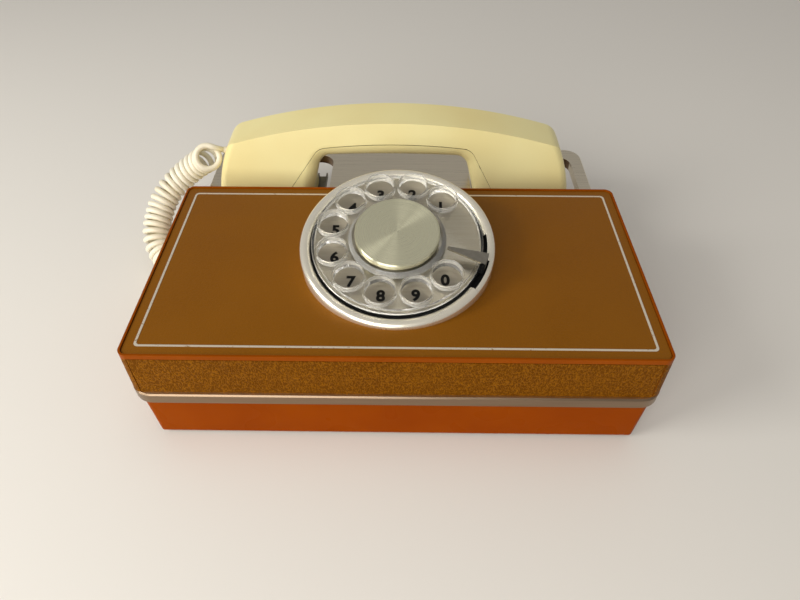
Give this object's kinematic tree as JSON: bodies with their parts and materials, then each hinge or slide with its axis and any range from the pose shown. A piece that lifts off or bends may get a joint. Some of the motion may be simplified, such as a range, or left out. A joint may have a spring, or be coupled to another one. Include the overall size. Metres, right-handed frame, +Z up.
{
  "type": "rotary telephone",
  "caption": "Low box-shaped desk telephone with a tilted rotary dial, and an arched handset lying crossways behind it in a cradle frame with a curly cord",
  "frame": {"origin": "on the table under the middle of the cradle frame", "axes": "+X to the right of the person who dials, +Y away from them, +Z up"},
  "size_m": [0.2718, 0.1982, 0.0858],
  "materials": {
    "orange_plastic": "satin moulded",
    "brown_vinyl": "grained",
    "silver_trim": "satin",
    "silver_line": "worn",
    "number_plate": "matt",
    "black_plastic": "matt",
    "clear_plastic": "clear",
    "brushed_disc": "brushed",
    "bright_steel": "plated",
    "sheet_steel": "zinc",
    "brass": "plain",
    "coil": "wound",
    "potting": "matt",
    "cream_plastic": "satin moulded",
    "cream_rubber": "smooth",
    "black_rubber": "smooth",
    "capsule": "plain"
  },
  "bodies": {
    "base": {"base_tray": "orange_plastic", "top_casing": "orange_plastic", "top_panel": "brown_vinyl", "front_panel": "brown_vinyl", "cradle_frame": "silver_trim", "dial_bezel": "silver_trim", "pinstripe": "silver_line", "number_plate": "number_plate", "dial_mount": "black_plastic", "terminal_strip": "black_plastic", "pulse_contacts": "black_plastic", "hook_contacts": "black_plastic", "casing_screws": "bright_steel", "dial_screws": "bright_steel", "lever_pin": "bright_steel", "terminal_screws": "bright_steel", "network_terminals": "bright_steel", "gong_posts": "bright_steel", "return_spring": "bright_steel", "ringer_core": "bright_steel", "dial_bridge": "sheet_steel", "chassis_plate": "sheet_steel", "ringer_frame": "sheet_steel", "hook_bracket": "sheet_steel", "front_gong": "brass", "rear_gong": "brass", "ringer_coil": "coil", "network_block": "potting", "capacitor": "potting", "handset_cord": "cream_rubber", "cord_inlet": "cream_rubber", "rubber_feet": "black_rubber", "rest_pads": "black_rubber", "line_inlet": "black_rubber"},
    "handset": {"handset_back": "cream_plastic", "handset_face": "cream_plastic", "handset_screws": "bright_steel", "transmitter": "capsule", "receiver": "capsule", "cord_boot": "cream_rubber"},
    "dial_wheel": {"finger_wheel": "clear_plastic", "centre_disc": "brushed_disc", "wheel_nut": "bright_steel", "dial_shaft": "bright_steel", "main_gear": "brass"},
    "pulse_train": {"pulse_gear": "brass", "pulse_cam": "brass"},
    "governor": {"governor": "brass"},
    "stop": {"stop_ring": "black_plastic", "finger_stop": "bright_steel"},
    "hook": {"hook_lever": "bright_steel"},
    "clapper": {"clapper": "sheet_steel"}
  },
  "joints": [
    {"name": "handset_lift", "type": "slide", "parent": "base", "child": "handset", "axis": [0, 0, 1], "range_m": [0, 0.07], "deforming": ["handset_cord"]},
    {"name": "dial_turn", "type": "hinge", "parent": "base", "child": "dial_wheel", "pos_m": [0, -0.0377, 0.07262], "axis": [0, 0.225, -0.9744], "range_deg": [0, 334], "stiffness_Nm_per_rad": 0.004, "springref_deg": -57.3},
    {"name": "pulse_turn", "type": "hinge", "parent": "base", "child": "pulse_train", "pos_m": [-0.01966, -0.05111, 0.06953], "axis": [0, 0.225, -0.9744], "range_deg": [-1346, 10]},
    {"name": "governor_turn", "type": "hinge", "parent": "base", "child": "governor", "pos_m": [-0.00896, -0.0605, 0.06736], "axis": [0, 0.225, -0.9744], "range_deg": [-10, 4018]},
    {"name": "stop_give", "type": "hinge", "parent": "base", "child": "stop", "pos_m": [0, -0.0377, 0.07262], "axis": [0, 0.225, -0.9744], "range_deg": [0, 12], "stiffness_Nm_per_rad": 0.05, "springref_deg": -5.73},
    {"name": "hook_tilt", "type": "hinge", "parent": "base", "child": "hook", "pos_m": [-0.0509, 0.0143, 0.02445], "axis": [1, 0, 0], "range_deg": [0, 4.5]},
    {"name": "clapper_swing", "type": "hinge", "parent": "base", "child": "clapper", "pos_m": [-0.046, -0.0419, 0.017], "axis": [0, 0, 1], "range_deg": [-3, 3]}
  ],
  "couplings": [
    {"joint": "pulse_turn", "follows": "dial_turn", "ratio": -4},
    {"joint": "governor_turn", "follows": "dial_turn", "ratio": 12},
    {"joint": "hook_tilt", "follows": "handset_lift", "rad_per_m": 1.1209}
  ]
}
